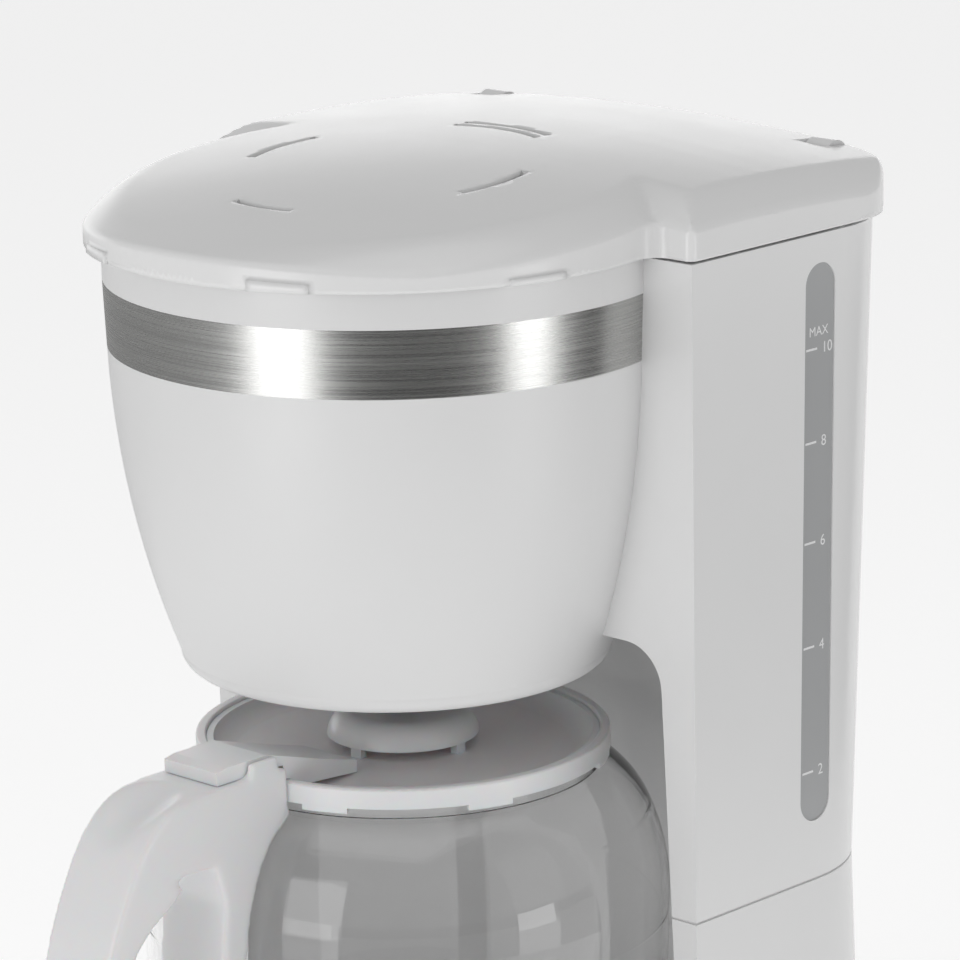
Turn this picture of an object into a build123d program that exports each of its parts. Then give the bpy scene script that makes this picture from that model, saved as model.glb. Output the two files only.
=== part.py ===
from build123d import *
import os
from math import cos, pi, radians, sin, sqrt

# Drip coffee maker for a flat-bottomed paper filter, with a glass jug on a hot plate.
# Millimetres, +Z up, +X right, front towards -Y. The origin is at table height, in the
# middle of the footprint. Parts are drawn about the bowl's upright axis and shifted back
# at the end, so that the footprint is centred.

# Driving dimensions: whole machine
HANDLE_REACH = 120.5        # bowl axis to the front of the jug's handle
LID_REAR = 111.0            # bowl axis to the back edge of the lid
AXIS_Y = (HANDLE_REACH - LID_REAR) / 2
WALL = 2.4                  # moulded wall
GAP = 0.15                  # between parts that separate

# Heights above the table
FOOT_TOP = 4.0
DECK = 60.0                 # top of the platform round the hot plate
PLATE_TOP = 62.6
SEAM = 138.5                # joint between the base and the column above
GROOVE = 0.7                # shadow line round the seam
NICHE_TOP = 211.5
BOWL_FLOOR = 199.8
BAND_LOW = 287.2
BAND_HIGH = 305.0
BODY_TOP = 314.4
LID_LOW = 315.1
LID_CROWN = 335.3
LID_EDGE = 2.0              # rounding round the lid's top
LID_DISC_R = 78.1           # round front of the lid
LID_DISC_Y = -1.9

# Column, seen from above
COLUMN_HALF = 89.2
COLUMN_FRONT = 18.3
BACK_TOP = 108.4
BACK_SEAM = 106.4
CORNER_TOP = 28.0
CORNER_SEAM = 38.0
BASE_SPREAD = 2.6           # how far the base flares out below the seam
SPREAD_LOW = 24.0           # height at which the flare ends

# Bowl and filter basket
BOWL_R = 75.0
BAND_R_LOW = 74.3
BOWL_MID = (69.8, 247.0)
BOWL_EDGE = (57.6, 204.2)
BOWL_HOLE_R = 26.0          # opening in the bowl's floor for the drip stop
BOWL_WALL = 3.0
SEAT = 300.0                # ledge that carries the basket
BASKET_R = 71.8
BASKET_FLOOR = 212.0
SPIGOT_R = 8.0
VALVE_TRAVEL = 3.0

# Jug, about its own upright axis
JUG_Y = 1.5
NICHE_R_TOP = 79.0
NICHE_R_DECK = 86.2
JUG_R = 71.0
MOUTH_R = 52.0
RIM_R = 55.6
RIM_LOW = 173.8
RIM_HIGH = 179.2
CAP_R = 20.5
CAP_TOP = 185.2
GLASS = 1.9
HANDLE_HALF = 12.0

# Lid hinge
HINGE_Y = 106.0
HINGE_Z = 326.0
HINGE_X = 60.0
HINGE_PIN_R = 2.0
EAR_WIDTH = 8.0

# Switch, water way and heating
SWITCH_Z = 32.0
RISER_Y = 97.5
RISER_R = 4.5
OUTLET_X, OUTLET_Y = 40.0, 90.0
HOSE_R = 6.0
HOSE_BORE = 4.05
TUBE_R = 4.0
TUBE_X, TUBE_Z = 19.0, 50.0
ELEMENT_R = 38.0


def ring(outer, inner, low, high, at=(0, 0)):
    """A plain ring or tube standing on the height low."""
    face = Circle(outer) - Circle(inner)
    return extrude(Pos(at[0], at[1], low) * face, high - low)


def disc(radius, low, high, at=(0, 0)):
    """A plain round bar standing on the height low."""
    return extrude(Pos(at[0], at[1], low) * Circle(radius), high - low)


def block(x, y, z):
    """A box from its (low, high) extents along each axis."""
    size = [high - low for low, high in (x, y, z)]
    middle = [(high + low) / 2 for low, high in (x, y, z)]
    return Pos(*middle) * Box(*size)


def turned(edges, y=0.0):
    """Solid of revolution about the upright axis at the given y, from radius-height edges."""
    return Pos(0, y, 0) * revolve(make_face(Curve() + edges), Axis.Z)


def line(*points):
    """Straight edges through (radius, height) points, in the XZ plane."""
    return Polyline(*[(r, 0, z) for r, z in points])


def arc(start, middle, end):
    """Arc through three (radius, height) points, in the XZ plane."""
    return ThreePointArc(*[(r, 0, z) for r, z in (start, middle, end)])


def sector(outer, inner, low, high, middle_deg, width_deg):
    """Part of a ring, centred on middle_deg and width_deg wide."""
    reach = 2 * outer
    half = radians(width_deg / 2)
    fan = Polyline((0, 0), (reach * cos(half), -reach * sin(half)), (reach * cos(half), reach * sin(half)),
                   close=True)
    wedge = extrude(Rot(0, 0, middle_deg) * make_face(fan), high - low)
    return ring(outer, inner, low, high) & (Pos(0, 0, low) * wedge)


def hose(points, radii, bore):
    """A tube along straight runs joined by tangent arcs."""
    path = FilletPolyline(*points, radius=radii)
    start = Plane(path @ 0, z_dir=path % 0)
    return sweep(start * (Circle(HOSE_R) - Circle(bore)), path)


# Column and niche shapes shared by several parts

def column_face(z, half, back, corner, inset):
    """Outline of the column at one height, moved inwards by inset."""
    front = COLUMN_FRONT + inset
    depth = back - inset - front
    face = Pos(0, front + depth / 2) * Rectangle(2 * (half - inset), depth)
    rear = face.vertices().sort_by(Axis.Y)[-2:]
    return Pos(0, 0, z) * fillet(rear, corner - inset)


def column_solid(inset=0.0, top=BODY_TOP, low=SEAM):
    """The column above the seam: its back tapers in towards the seam."""
    return loft([
        column_face(low, COLUMN_HALF, BACK_SEAM, CORNER_SEAM, inset),
        column_face(top, COLUMN_HALF, BACK_TOP, CORNER_TOP, inset),
    ], ruled=True)


def platform_face(z, half, back, inset):
    """Outline of the whole base at one height: round in front, square-shouldered behind."""
    sides = Pos(0, JUG_Y / 2 + (back - inset) / 2) * Rectangle(2 * (half - inset), back - inset - JUG_Y)
    rear = sides.vertices().sort_by(Axis.Y)[-2:]
    sides = fillet(rear, CORNER_SEAM - inset)
    return Pos(0, 0, z) * (sides + Pos(0, JUG_Y) * Circle(half - inset))


def base_solid(inset=0.0):
    """The base: round platform and lower column, flaring out below the seam."""
    half_low, back_low = COLUMN_HALF + BASE_SPREAD, BACK_SEAM + BASE_SPREAD
    spread_deck = BASE_SPREAD * (SEAM - DECK) / (SEAM - SPREAD_LOW)
    half_deck, back_deck = COLUMN_HALF + spread_deck, BACK_SEAM + spread_deck
    foot = extrude(platform_face(FOOT_TOP, half_low, back_low, inset), SPREAD_LOW - FOOT_TOP)
    platform = loft([
        platform_face(SPREAD_LOW, half_low, back_low, inset),
        platform_face(DECK, half_deck, back_deck, inset),
    ], ruled=True)
    column = loft([
        column_face(SPREAD_LOW, half_low, back_low, CORNER_SEAM, inset),
        column_face(SEAM, COLUMN_HALF, BACK_SEAM, CORNER_SEAM, inset),
    ], ruled=True)
    if not inset:
        platform = fillet(platform.faces().sort_by(Axis.Z)[-1].edges(), 3.0)
    return foot + platform + column


def niche_solid(grow=0.0, low=DECK):
    """The round space for the jug: it widens downwards, with a rounded top edge."""
    slope = (NICHE_R_DECK - NICHE_R_TOP) / (NICHE_TOP - DECK)
    r_low = NICHE_R_TOP + slope * (NICHE_TOP - low) + grow
    r_top = NICHE_R_TOP + grow
    high = NICHE_TOP + grow
    cone = turned([line((0, low), (r_low, low), (r_top, high), (0, high), (0, low))], JUG_Y)
    return fillet(cone.edges().sort_by(Axis.Z)[-1], 12.0 + grow)


def bowl_solid(grow=0.0):
    """Outer shape of the bowl, larger by grow."""
    edge_r, edge_z = BOWL_EDGE
    rounding = edge_z - BOWL_FLOOR
    floor_r = edge_r - rounding
    corner = (floor_r + 0.707 * rounding, edge_z - 0.707 * rounding)
    wall = (edge_r + grow, edge_z)
    return turned([
        line((0, BOWL_FLOOR - grow), (floor_r, BOWL_FLOOR - grow)),
        arc((floor_r, BOWL_FLOOR - grow), (corner[0] + grow * 0.7, corner[1] - grow * 0.7), wall),
        arc(wall, (BOWL_MID[0] + grow, BOWL_MID[1]), (BAND_R_LOW + grow, BAND_LOW)),
        line((BAND_R_LOW + grow, BAND_LOW), (BOWL_R + grow, BAND_HIGH), (BOWL_R + grow, BODY_TOP),
             (0, BODY_TOP), (0, BOWL_FLOOR - grow)),
    ])


# Base

def make_base_housing():
    shell = base_solid() - niche_solid()
    deck = block((-120, 120), (-120, COLUMN_FRONT + WALL), (DECK - WALL, SEAM))
    hollow = base_solid(WALL) - niche_solid(WALL, DECK - WALL) - deck
    shell = shell - hollow
    shell -= disc(59.6, DECK - 2 * WALL, DECK + 1, (0, JUG_Y))
    shell -= block((-12, 12), (-100, -70), (SWITCH_Z - 8.5, SWITCH_Z + 8.5))
    shell -= Pos(55, 108, 22) * Rot(90, 0, 0) * Cylinder(6.05, 20)
    return shell


def foot_places():
    return [(-62, -22), (62, -22), (-62, 84), (62, 84)]


def screw_places():
    return [(-40, -52), (40, -52), (-36, 92), (36, 92)]


def make_base_cover():
    inner = base_solid(WALL + 0.2)
    plate = inner & block((-120, 120), (-120, 140), (FOOT_TOP, FOOT_TOP + 2.2))
    for x, y in foot_places():
        plate -= disc(3.05, 0, 10, (x, y))
    for x, y in screw_places():
        plate -= disc(2.1, 0, 10, (x, y))
    for i in range(7):
        plate -= block((-24, 24), (-9 + 8 * i, -6 + 8 * i), (0, 10))
    return plate


def make_rubber_feet():
    feet = []
    for x, y in foot_places():
        pad = fillet(disc(9.0, 0, FOOT_TOP, (x, y)).edges().sort_by(Axis.Z)[0], 1.2)
        feet.append(pad + disc(3.0, FOOT_TOP, FOOT_TOP + 5, (x, y)))
    return feet


def screw(x, y, low, length, thread=2.0, head=3.6, head_high=2.0):
    """A pan-head screw driven upwards, with a cross recess in its head."""
    body = disc(head, low, low + head_high, (x, y)) + disc(thread, low + head_high, low + length, (x, y))
    cross = block((x - 2, x + 2), (y - 0.4, y + 0.4), (low - 1, low + 1))
    cross += block((x - 0.4, x + 0.4), (y - 2, y + 2), (low - 1, low + 1))
    return body - cross


def make_base_screws():
    return [screw(x, y, FOOT_TOP - 2.0, 16) for x, y in screw_places()]


def make_screw_posts():
    """Posts that stand on the cover and take its screws."""
    return [ring(5.0, 2.05, FOOT_TOP + 2.2, 40, (x, y)) for x, y in screw_places()]


def make_hot_plate():
    top = PLATE_TOP
    return turned([
        line((0, top - 1.2), (52, top - 1.2), (54, top - 1.8), (58.4, top - 1.8), (58.4, 57), (59.4, 57),
             (59.4, DECK + 1), (62.5, DECK + 1)),
        arc((62.5, DECK + 1), (63.6, DECK + 1.7), (62.5, top)),
        line((62.5, top), (56, top), (53, top - 0.5), (0, top - 0.5), (0, top - 1.2)),
    ], JUG_Y)


def make_plate_seal():
    return Pos(0, JUG_Y, 0) * ring(62.0, 59.6, DECK, DECK + 1)


def make_heating_element():
    """Cast horseshoe under the plate, open to the back, with the water tube's two ends."""
    top = PLATE_TOP - 1.3
    low = TUBE_Z - 5
    body = ring(ELEMENT_R + 8, ELEMENT_R - 8, low, top) - sector(ELEMENT_R + 9, ELEMENT_R - 9, low, top, 90, 50)
    body = Pos(0, JUG_Y, 0) * body
    for side in (-1, 1):
        end = Pos(side * TUBE_X, 49, TUBE_Z) * Rot(90, 0, 0) * Cylinder(TUBE_R, 36)
        bore = Pos(side * TUBE_X, 55, TUBE_Z) * Rot(90, 0, 0) * Cylinder(TUBE_R - 1, 26)
        pin = Pos(side * (TUBE_X + 9), 42, TUBE_Z) * Rot(90, 0, 0) * Cylinder(1.6, 22)
        body = body + end - bore + pin
    return body


def make_element_bracket():
    low = TUBE_Z - 5
    strap = block((-50, 50), (JUG_Y - 8, JUG_Y + 8), (low - 1.6, low))
    cup = ring(11, 9, low - 12, low - 1.6, (0, JUG_Y)) + disc(11, low - 1.6, low, (0, JUG_Y))
    holes = disc(2.1, 0, 100, (-26, JUG_Y)) + disc(2.1, 0, 100, (26, JUG_Y))
    return strap + cup - holes


def make_bracket_screws():
    return [screw(x, JUG_Y, TUBE_Z - 8.6, 10) for x in (-26, 26)]


def make_thermostat():
    low = TUBE_Z - 16.6
    body = disc(8.6, low, low + 10, (0, JUG_Y))
    legs = block((-1.5, 1.5), (JUG_Y - 7, JUG_Y - 6), (low - 6, low))
    legs += block((-1.5, 1.5), (JUG_Y + 6, JUG_Y + 7), (low - 6, low))
    return body + legs


def make_thermal_fuses():
    fuses = []
    for y in (-24, 26):
        capsule = Pos(-8, y, TUBE_Z - 8) * Rot(0, 90, 0) * Cylinder(2.0, 16)
        lead = Pos(-8, y, TUBE_Z - 8) * Rot(0, 90, 0) * Cylinder(0.6, 34)
        fuses.append(capsule + lead)
    return fuses


def make_terminal_block():
    body = block((-64, -40), (36, 48), (FOOT_TOP + 2.2, FOOT_TOP + 18))
    for x in (-60, -52, -44):
        body -= disc(2.2, FOOT_TOP + 10, FOOT_TOP + 20, (x, 42))
    return body


def make_cord_gland():
    """Round bushing in the back wall, where a mains lead would leave."""
    flange = Pos(55, 110.3, 22) * Rot(90, 0, 0) * Cylinder(8.5, 2.6)
    barrel = Pos(55, 102.5, 22) * Rot(90, 0, 0) * Cylinder(6.0, 13)
    bore = Pos(55, 104, 22) * Rot(90, 0, 0) * Cylinder(3.6, 40)
    return fillet(flange.edges().sort_by(Axis.Y)[-1], 1.0) + barrel - bore


# Switch on the front of the base

ROCKER_HALF_H = 6.6
ROCKER_TILT = 8.0
ROCKER_Y = -84.6


def switch_front(z):
    """Distance of the platform's front face from the bowl axis, at a height."""
    slope = BASE_SPREAD / (DECK - SPREAD_LOW)
    return JUG_Y - (COLUMN_HALF + slope * (DECK - z))


def make_switch_bezel():
    front = switch_front(SWITCH_Z) - 2.4
    frame = block((-15.5, 15.5), (front, front + 4.6), (SWITCH_Z - 12, SWITCH_Z + 12))
    frame = fillet(frame.edges().filter_by(Axis.Y), 4.0)
    frame = fillet(frame.faces().sort_by(Axis.Y)[0].edges(), 1.2)
    frame -= base_solid()
    collar = block((-11.8, 11.8), (front + 1, -72), (SWITCH_Z - 8.3, SWITCH_Z + 8.3))
    opening = block((-10.4, 10.4), (-110, -60), (SWITCH_Z - 7.6, SWITCH_Z + 7.6))
    return frame + collar - opening


def make_switch_body():
    low, high = SWITCH_Z - 7.4, SWITCH_Z + 7.4
    body = block((-10.2, 10.2), (-78, -62), (low, high))
    body -= Pos(0, ROCKER_Y, SWITCH_Z) * Rot(0, 90, 0) * Cylinder(9.2, 40)
    for x in (-6, 6):
        body += block((x - 0.4, x + 0.4), (-62, -54), (SWITCH_Z - 3, SWITCH_Z + 3))
    return body


def make_switch_rocker():
    """Two-faced paddle, shown with its lower half pressed in."""
    depth = 4.0
    rise = 1.2
    profile = Polyline((0, -depth, 0), (0, -depth - rise, ROCKER_HALF_H), (0, 1.0, ROCKER_HALF_H),
                       (0, 5.5, 0), (0, 1.0, -ROCKER_HALF_H), (0, -depth - rise, -ROCKER_HALF_H), close=True)
    paddle = extrude(make_face(profile), 9.8, dir=(1, 0, 0), both=True)
    paddle = fillet(paddle.edges().filter_by(Axis.X).sort_by(Axis.Y)[:2], 0.8)
    return Pos(0, ROCKER_Y, SWITCH_Z) * Rot(-ROCKER_TILT, 0, 0) * paddle


# Column and tank

WINDOW_WIDTH = 12.0
WINDOW_LENGTH = 151.5
WINDOW_MIDDLE = (67.8, 231.0)
WINDOW_LEAN = 1.0


def window_slot(width, length, thickness, x):
    """Upright rounded strip in the right side, leaning as the body tapers."""
    strip = extrude(SlotOverall(length, width, rotation=90), thickness / 2, both=True)
    return Pos(x, *WINDOW_MIDDLE) * Rot(-WINDOW_LEAN, 0, 0) * Rot(0, 0, 90) * Rot(90, 0, 0) * strip


def make_tank_body():
    body = column_solid()
    hollow = column_solid(WALL, BODY_TOP + 1, SEAM - 1) - bowl_solid(WALL) - niche_solid(WALL, SEAM - 2)
    body = body - hollow - bowl_solid() - niche_solid(0, SEAM - 1)
    body -= disc(BOWL_R + WALL + 1, 306, 320)
    body -= (column_solid() & block((-120, 120), (0, 140), (SEAM, SEAM + GROOVE))) - column_solid(GROOVE)
    body += (column_solid() & block((-100, 100), (COLUMN_FRONT, COLUMN_FRONT + WALL), (300, BODY_TOP))) \
        - bowl_solid()
    body -= window_slot(WINDOW_WIDTH, WINDOW_LENGTH, 12, COLUMN_HALF)
    for side in (-1, 1):
        body += hinge_ear(side)
    return body


def hinge_ear(side):
    """Upright lug at the back of the body, with the hole for a hinge pin."""
    middle = side * HINGE_X
    x = (middle - EAR_WIDTH / 2, middle + EAR_WIDTH / 2)
    knuckle = Pos(middle, HINGE_Y, HINGE_Z) * Rot(0, 90, 0) * Cylinder(4.6, EAR_WIDTH)
    stem = block(x, (HINGE_Y - 3.2, HINGE_Y + 2.0), (296, HINGE_Z))
    hole = Pos(middle, HINGE_Y, HINGE_Z) * Rot(0, 90, 0) * Cylinder(HINGE_PIN_R + 0.05, 2 * EAR_WIDTH)
    return knuckle + stem - hole


def make_level_window():
    return window_slot(WINDOW_WIDTH - 0.1, WINDOW_LENGTH - 0.1, WALL, COLUMN_HALF - WALL / 2 - 0.4)


def make_tank_floor():
    low, high = SEAM + 1, SEAM + 4
    plate = column_solid(WALL + 0.1) & block((-120, 120), (0, 140), (low, high))
    plate -= niche_solid(WALL + 0.1, SEAM - 2)
    outlet = (OUTLET_X, OUTLET_Y)
    plate += disc(5.5, SEAM - 14, low + 1, outlet) + disc(TUBE_R, SEAM - 24, SEAM - 14, outlet)
    plate -= disc(3.4, SEAM - 12, high + 1, outlet)
    plate -= disc(2.4, SEAM - 30, high + 1, outlet)
    plate -= disc(5.6, SEAM - 30, high + 1, (0, RISER_Y))
    return plate


def make_outlet_screen():
    """Slotted cap over the tank's outlet."""
    outlet = (OUTLET_X, OUTLET_Y)
    cap = disc(8.0, SEAM + 4, SEAM + 10, outlet) - disc(6.8, SEAM + 3, SEAM + 8.8, outlet)
    for turn in (0, 60, 120):
        cap -= Pos(OUTLET_X, OUTLET_Y, SEAM + 6.4) * Rot(0, 0, turn) * Box(30, 1.6, 3.0)
    return cap


def make_check_ball():
    return Pos(OUTLET_X, OUTLET_Y, SEAM - 12 + 2.9) * Sphere(2.9)


def make_riser_tube():
    return ring(RISER_R, RISER_R - 1.2, 66, 310.4, (0, RISER_Y))


def make_riser_grommet():
    low, high = SEAM + 1, SEAM + 4
    sleeve = ring(5.55, RISER_R, low - 2, high + 2, (0, RISER_Y))
    return sleeve + ring(6.4, RISER_R, high, high + 2, (0, RISER_Y)) \
        + ring(6.4, RISER_R, low - 2, low, (0, RISER_Y))


def make_inlet_hose():
    route = [(OUTLET_X, OUTLET_Y, SEAM - 14.2), (OUTLET_X, OUTLET_Y, TUBE_Z), (TUBE_X, 80, TUBE_Z),
             (TUBE_X, 54, TUBE_Z)]
    return hose(route, [12, 11], HOSE_BORE)


def make_riser_hose():
    route = [(-TUBE_X, 54, TUBE_Z), (-TUBE_X, 86, TUBE_Z), (0, RISER_Y, TUBE_Z), (0, RISER_Y, 96)]
    return hose(route, [10, 10], RISER_R + 0.05)


def make_hose_clips():
    clips = [ring(7.2, HOSE_R, SEAM - 22, SEAM - 17, (OUTLET_X, OUTLET_Y)),
             ring(7.2, HOSE_R, 86, 91, (0, RISER_Y))]
    for side in (-1, 1):
        clips.append(Pos(side * TUBE_X, 66, TUBE_Z) * Rot(90, 0, 0) * (Cylinder(7.2, 5) - Cylinder(HOSE_R, 6)))
    return clips


# Bowl, basket and drip stop

def band_ring():
    """The full ring of which the trim band is the visible part."""
    return turned([line((BOWL_R, BAND_HIGH), (BAND_R_LOW, BAND_LOW), (BAND_R_LOW - 0.8, BAND_LOW),
                        (BOWL_R - 0.8, BAND_HIGH), (BOWL_R, BAND_HIGH))])


def in_front_of_column(part):
    return part & block((-120, 120), (-120, COLUMN_FRONT - 0.1), (150, 340))


def make_bowl_housing():
    floor = BOWL_FLOOR + BOWL_WALL
    heel = (BOWL_EDGE[0] - BOWL_WALL, floor + BOWL_WALL)
    waist = (BOWL_MID[0] - BOWL_WALL - 1.6, 240)
    ledge_r, seat_r = 69.6, BASKET_R + 0.7
    inner = turned([
        line((0, floor), (heel[0] - BOWL_WALL - 1, floor), heel),
        arc(heel, waist, (ledge_r, 285)),
        line((ledge_r, 285), (ledge_r, SEAT), (seat_r, SEAT), (seat_r, BODY_TOP + 1), (0, BODY_TOP + 1),
             (0, floor)),
    ])
    bowl = bowl_solid() - inner - disc(BOWL_HOLE_R, BOWL_FLOOR - 1, floor + 1)
    bowl -= block((-120, 120), (COLUMN_FRONT + WALL, 120), (308, 330))
    return bowl - in_front_of_column(band_ring())


def make_trim_band():
    return in_front_of_column(band_ring())


def make_filter_basket():
    top = SEAT + 2.5
    base = SEAT + GAP
    spigot_low = BOWL_FLOOR + 1.2
    outside = [(SPIGOT_R, spigot_low), (SPIGOT_R, 209), (38, 209), (42, 213), (66.4, base - 6), (66.4, base),
               (BASKET_R, base), (BASKET_R, top), (64.2, top), (64.2, base - 6), (40.5, BASKET_FLOOR + 2.4),
               (38, BASKET_FLOOR), (5.2, BASKET_FLOOR), (5.2, spigot_low), (SPIGOT_R, spigot_low)]
    basket = turned([line(*outside)])
    for turn in range(0, 360, 30):
        rib = Polyline((12, 0, BASKET_FLOOR), (12, 0, BASKET_FLOOR + 1.2), (39, 0, BASKET_FLOOR + 1.2),
                       (62.6, 0, 290), (64, 0, 290), (40, 0, BASKET_FLOOR), close=True)
        basket += Rot(0, 0, turn + 15) * extrude(make_face(rib), 0.6, dir=(0, 1, 0), both=True)
    for side in (0, 180):
        basket += sector(69.4, 67.6, top - 1, top + 8.5, side, 28)
    return basket


def make_valve_cage():
    """Three-legged bridge over the outlet that holds the spring."""
    low = BASKET_FLOOR + 1.2
    bridge = disc(10.5, 229, 230.6) + ring(11.4, 9.6, low - 1.2, low)
    for turn in (90, 210, 330):
        bridge += sector(11.2, 9.8, low - 1.2, 230.6, turn, 24)
    return bridge


def make_drip_valve():
    """Plunger that the jug's lid pushes up: head, stem and button."""
    low = CAP_TOP + 0.45
    head = disc(7.0, BASKET_FLOOR + 1.3, BASKET_FLOOR + 3.3) + disc(3.0, BASKET_FLOOR + 3.3, BASKET_FLOOR + 6)
    stem = disc(2.6, low + 1, BASKET_FLOOR + 1.3)
    button = fillet(disc(4.7, low, low + 2.4).edges().sort_by(Axis.Z)[0], 0.8)
    return head + stem + button


def make_valve_seal():
    return ring(7.6, 2.6, BASKET_FLOOR + GAP, BASKET_FLOOR + 1.3)


def make_valve_spring():
    low, high = BASKET_FLOOR + 3.8, 228.5
    path = Helix(pitch=(high - low) / 5, height=high - low, radius=4.6)
    wire = Plane(path @ 0, z_dir=path % 0) * Circle(0.45)
    return Pos(0, 0, low) * sweep(wire, path)


# Lid

def lid_face(inset=0.0):
    """Round disc over the bowl, running into a square-shouldered back over the tank."""
    depth = LID_REAR - COLUMN_FRONT
    back = Pos(0, COLUMN_FRONT + depth / 2) * Rectangle(2 * COLUMN_HALF, depth)
    back = fillet(back.vertices().sort_by(Axis.Y)[-2:], 25.0)
    face = back + Pos(0, LID_DISC_Y) * Circle(LID_DISC_R)
    shoulders = [v for v in face.vertices() if abs(v.Y - COLUMN_FRONT) < 0.1]
    inner = [v for v in shoulders if abs(v.X) < 80]
    face = fillet(inner, 5.0)
    outer = [v for v in face.vertices() if abs(abs(v.X) - COLUMN_HALF) < 0.1 and v.Y < COLUMN_FRONT + 1]
    face = fillet(outer, 2.5)
    return offset(face, -inset) if inset else face


def dome(drop=0.0):
    """Everything under a gently barrelled surface, lower by drop."""
    across, along = 700.0, 620.0
    crown_y = 45.0
    crown = LID_CROWN - drop
    half = 96.0
    edge = crown - (across - sqrt(across ** 2 - half ** 2))
    outline = Curve() + [
        ThreePointArc((-half, crown_y, edge), (0, crown_y, crown), (half, crown_y, edge)),
        Polyline((half, crown_y, edge), (half, crown_y, 300), (-half, crown_y, 300), (-half, crown_y, edge)),
    ]
    hub = Axis((0, crown_y, LID_CROWN - along), (1, 0, 0))
    swing = 13.0
    start = make_face(outline).rotate(hub, -swing)
    return revolve(start, hub, 2 * swing)


def vent_slots():
    """Four arc-shaped steam vents round the bowl's axis; the back one is double."""
    slots = Part()
    for radius, middle, width, length in ((40, 0, 2.6, 25), (40, 180, 2.6, 25), (46, -90, 2.2, 21),
                                          (44.2, 90, 2.2, 31), (48.2, 90, 2.2, 31)):
        angle = length / radius * 180 / pi
        slots += sector(radius + width / 2, radius - width / 2, 300, 345, middle, angle)
    return slots


def make_top_lid():
    solid = extrude(Pos(0, 0, LID_LOW) * lid_face(), 40) & dome()
    rim = solid.faces().sort_by(Axis.Z)[-1]
    solid = fillet(rim.edges(), LID_EDGE)
    hollow = extrude(Pos(0, 0, LID_LOW - 1) * lid_face(2.6), 40) & dome(2.6)
    lid = solid - hollow - vent_slots()
    lid -= block((-100, 100), (99, 120), (300, 316.8))
    for side in (-1, 1):
        middle = side * HINGE_X
        for offset_x in (-7.5, 7.5):
            x = middle + offset_x
            lid += block((x - 2.3, x + 2.3), (HINGE_Y - 4, HINGE_Y + 3), (HINGE_Z - 4, HINGE_Z + 1.5))
        lid -= block((middle - EAR_WIDTH / 2 - 0.6, middle + EAR_WIDTH / 2 + 0.6), (99, 120), (300, 345))
        lid -= Pos(middle, HINGE_Y, HINGE_Z) * Rot(0, 90, 0) * Cylinder(HINGE_PIN_R, 19)
    for turn in (-164, -115, -65, -16):
        lid += Pos(0, LID_DISC_Y, 0) * sector(LID_DISC_R + 0.7, 74.5, LID_LOW, LID_LOW + 3.4, turn, 12)
    return lid


def make_lid_hinge_pins():
    return [Pos(s * HINGE_X, HINGE_Y, HINGE_Z) * Rot(0, 90, 0) * Cylinder(HINGE_PIN_R, 19) for s in (-1, 1)]


def make_lid_spreader():
    """Closed channel under the lid, from over the riser to a shower plate over the basket."""
    low, high = 311.0, 318.0
    body = disc(30, low, high) + block((-10, 10), (0, RISER_Y + 6), (low, high))
    body -= disc(28.5, low + 1.5, high - 1.5) + block((-8.5, 8.5), (0, RISER_Y + 4.5), (low + 1.5, high - 1.5))
    body -= disc(4.0, low - 1, low + 2, (0, RISER_Y))
    for radius, count in ((9, 6), (20, 12)):
        for i in range(count):
            turn = radians(360 / count * i)
            body -= disc(1.3, low - 1, low + 2, (radius * cos(turn), radius * sin(turn)))
    for x, y in ((-22, 0), (22, 0), (0, -22), (0, 70)):
        body += disc(3.0, high - 1, 340, (x, y)) & dome(2.6)
    return body


# Jug

def glass_outline(inset):
    """Edges of the jug's outside, moved inwards by inset, from the axis to the mouth."""
    low = PLATE_TOP + GAP + inset
    foot = (56.0 - inset, low)
    heel = (63.5 - inset, low + 7)
    belly = (JUG_R - inset, 128.0)
    shoulder = (66.3 - inset, 157.0)
    neck = (MOUTH_R + 1.2 - inset, 170.5)
    lip = (MOUTH_R + GLASS - inset, 175.2)
    return [
        line((0, low), foot),
        arc(foot, (61.2 - inset * 0.8, low + 2.2), heel),
        arc(heel, (68.9 - inset, 96.0), belly),
        arc(belly, (69.9 - inset, 146.0), shoulder),
        arc(shoulder, (60.4 - inset, 165.6), neck),
        line(neck, lip),
    ]


def make_jug_glass():
    lip_high = 175.2
    rim = line((MOUTH_R + GLASS, lip_high), (0, lip_high), (0, PLATE_TOP + GAP))
    mouth = line((MOUTH_R, lip_high), (MOUTH_R, lip_high + 1), (0, lip_high + 1), (0, PLATE_TOP + GAP + GLASS))
    outside = turned(glass_outline(0) + [rim], JUG_Y)
    inside = turned(glass_outline(GLASS) + [mouth], JUG_Y)
    return outside - inside


def make_jug_collar():
    """Rim ring clipped over the glass, with small hooks under it."""
    rim = ring(RIM_R, 52.8, 175.3, RIM_HIGH) + ring(RIM_R, MOUTH_R + GLASS + 0.1, RIM_LOW, 175.3)
    rim = fillet(rim.edges().filter_by(GeomType.CIRCLE).sort_by(Axis.Z)[-2:], 0.6)
    for turn in (-158.5, -112.5, -67.5, -21.5, 30, 90, 150):
        rim += sector(RIM_R - 0.1, RIM_R - 1.4, RIM_LOW - 1.5, RIM_LOW + 1, turn, 13)
    return Pos(0, JUG_Y, 0) * rim


def make_jug_lid():
    """Dished lid inside the rim ring, with a drain hole under the cap."""
    lid = turned([
        line((4.5, 173.4), (20, 173.4), (46, 171.8)),
        arc((46, 171.8), (49.6, 172.9), (51.6, 175.4)),
        line((51.6, 175.4), (52.7, 175.6), (52.7, 178.2), (50.9, 178.2)),
        arc((50.9, 178.2), (49.0, 174.9), (45.4, 173.6)),
        line((45.4, 173.6), (20, 175.2), (4.5, 175.2), (4.5, 173.4)),
    ], JUG_Y)
    return lid - lever_shape() - block((-9.9, 9.9), (-60, -46), (170, 182))


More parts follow.
